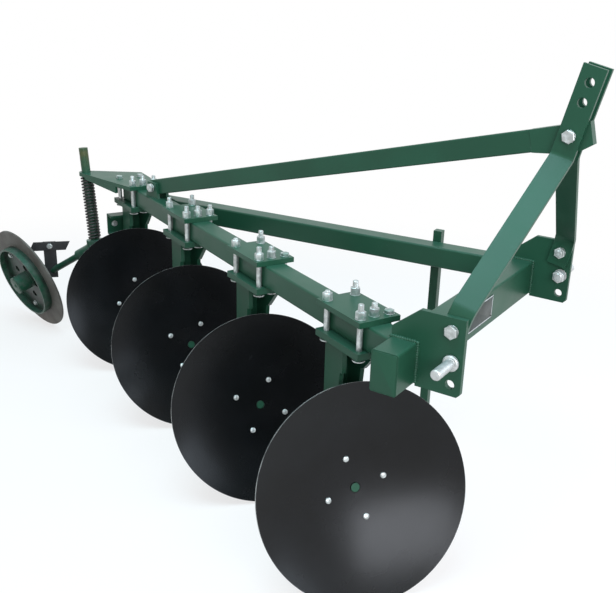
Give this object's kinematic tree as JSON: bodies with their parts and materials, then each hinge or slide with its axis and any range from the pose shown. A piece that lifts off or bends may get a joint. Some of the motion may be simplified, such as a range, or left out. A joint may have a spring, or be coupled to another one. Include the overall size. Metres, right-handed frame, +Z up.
{
  "type": "disc plough",
  "caption": "Tractor-mounted disc plough: dished discs on legs clamped to a slanting beam, hitch mast and pins, parking stand and swivelling furrow wheel.",
  "frame": {"origin": "middle of the footprint, on the ground", "axes": "+X the way it is pulled, +Y its left, +Z up"},
  "size_m": [2.8559, 1.2073, 1.4271],
  "materials": {
    "green_paint": "satin",
    "disc_black": "satin",
    "zinc": "satin",
    "bright_steel": "satin",
    "black_steel": "matte",
    "worn_steel": "matte"
  },
  "bodies": {
    "frame": {"clamp_bolts_1": "zinc", "clamp_bolts_2": "zinc", "clamp_bolts_3": "zinc", "clamp_bolts_4": "zinc", "clamp_low_1": "green_paint", "clamp_low_2": "green_paint", "clamp_low_3": "green_paint", "clamp_low_4": "green_paint", "clamp_top_1": "green_paint", "clamp_top_2": "green_paint", "clamp_top_3": "green_paint", "cross_tube": "green_paint", "disc_leg_1": "green_paint", "disc_leg_2": "green_paint", "disc_leg_3": "green_paint", "disc_leg_4": "green_paint", "hitch_pin_left": "bright_steel", "hitch_pin_right": "bright_steel", "hitch_plate_left": "green_paint", "hitch_plate_right": "green_paint", "main_beam": "green_paint", "mast_foot_bolts": "zinc", "mast_head_bolt": "zinc", "mast_leg_left": "green_paint", "mast_leg_right": "green_paint", "rear_brace": "green_paint", "rear_bracket": "green_paint", "stand_socket": "green_paint", "stay_lug": "green_paint", "stay_lug_bolt": "zinc", "stay_tongue": "green_paint", "top_stay": "green_paint", "wheel_plate": "green_paint", "wheel_plate_rib": "green_paint"},
    "disc_unit_1": {"disc_1": "disc_black", "disc_hub_1": "green_paint"},
    "disc_unit_2": {"disc_2": "disc_black", "disc_hub_2": "green_paint"},
    "disc_unit_3": {"disc_3": "disc_black", "disc_hub_3": "green_paint"},
    "disc_unit_4": {"disc_4": "disc_black", "disc_hub_4": "green_paint"},
    "parking_stand": {"parking_stand": "green_paint"},
    "wheel_post": {"wheel_post": "green_paint", "post_spring": "black_steel", "wheel_crank": "green_paint", "wheel_scraper": "black_steel"},
    "furrow_wheel": {"wheel_hub": "green_paint", "wheel_rim": "worn_steel"}
  },
  "joints": [
    {"name": "disc_spin_1", "type": "hinge", "parent": "frame", "child": "disc_unit_1", "pos_m": [0.99157, -0.30935, 0.2595], "axis": [0.7296, -0.5845, 0.3551], "continuous": true},
    {"name": "disc_spin_2", "type": "hinge", "parent": "frame", "child": "disc_unit_2", "pos_m": [0.47826, -0.07326, 0.2595], "axis": [0.7296, -0.5845, 0.3551], "continuous": true},
    {"name": "disc_spin_3", "type": "hinge", "parent": "frame", "child": "disc_unit_3", "pos_m": [-0.03504, 0.16284, 0.2595], "axis": [0.7296, -0.5845, 0.3551], "continuous": true},
    {"name": "disc_spin_4", "type": "hinge", "parent": "frame", "child": "disc_unit_4", "pos_m": [-0.54835, 0.39893, 0.2595], "axis": [0.7296, -0.5845, 0.3551], "continuous": true},
    {"name": "stand_slide", "type": "slide", "parent": "frame", "child": "parking_stand", "axis": [0, 0, 1], "range_m": [0, 0.43]},
    {"name": "wheel_swivel", "type": "hinge", "parent": "frame", "child": "wheel_post", "pos_m": [-0.87051, 0.43397, 0.7575], "axis": [-0.0906, 0, 0.9959], "range_deg": [-30, 30]},
    {"name": "wheel_spin", "type": "hinge", "parent": "wheel_post", "child": "furrow_wheel", "pos_m": [-1.18314, 0.31835, 0.23766], "axis": [-0.1582, -0.9452, -0.2857], "continuous": true}
  ]
}
